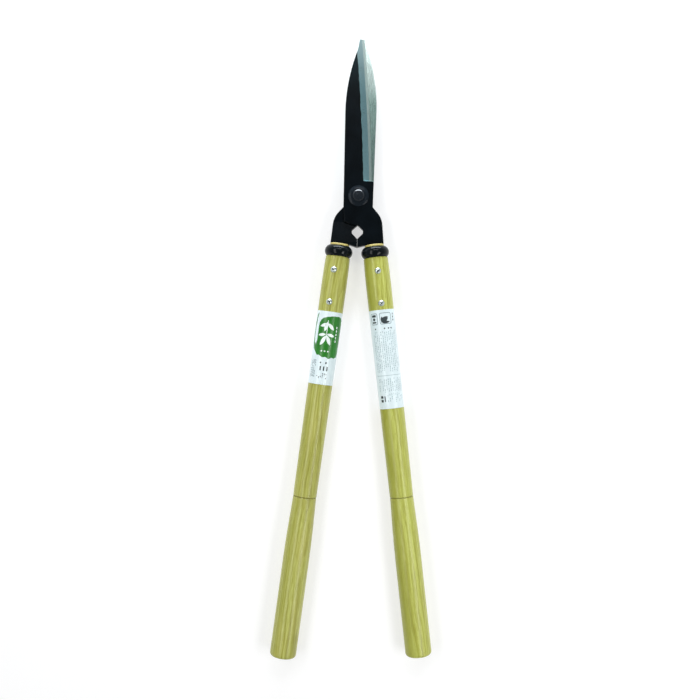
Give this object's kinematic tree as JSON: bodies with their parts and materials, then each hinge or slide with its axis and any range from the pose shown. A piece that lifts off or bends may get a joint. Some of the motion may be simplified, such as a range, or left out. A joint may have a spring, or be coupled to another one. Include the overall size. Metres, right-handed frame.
{
  "type": "hedge shears",
  "caption": "Two-handed hedge shears with forged black blades, ground bright along the edge, on a bolted pivot, and long turned wooden handles.",
  "frame": {"origin": "centre of the footprint, at the height of the lowest point of the handles, which the closed shears lie on", "axes": "+Y along the closed blades towards their tips, +Z along the pivot bolt towards its head at the front, +X to the right handle"},
  "size_m": [0.1714, 0.658, 0.0298],
  "materials": {
    "blade_steel": "black forged skin, with the bevels and inner faces ground bright",
    "blackened_steel": "blackened, semi-gloss",
    "collar_enamel": "black enamel, glossy",
    "screw_steel": "zinc plated",
    "handle_wood": "pale straight-grained hardwood, thinly varnished",
    "label_paper": "coated white label with printed plain shapes"
  },
  "bodies": {
    "rear_half": {"rear_blade": "blade_steel", "left_handle": "handle_wood", "left_collar": "collar_enamel", "left_upper_screw": "screw_steel", "left_lower_screw": "screw_steel", "left_label": "label_paper", "pivot_bolt": "blackened_steel", "front_cap_washer": "blackened_steel", "rear_washer": "blackened_steel", "spring_washer": "blackened_steel", "pivot_nut": "blackened_steel"},
    "front_half": {"front_blade": "blade_steel", "right_handle": "handle_wood", "right_collar": "collar_enamel", "right_upper_screw": "screw_steel", "right_lower_screw": "screw_steel", "right_label": "label_paper"}
  },
  "joints": [
    {"name": "blade_pivot", "type": "hinge", "parent": "rear_half", "child": "front_half", "pos_m": [-0.00616, 0.16248, 0.01484], "axis": [0, 0, 1], "range_deg": [0, 50]}
  ]
}
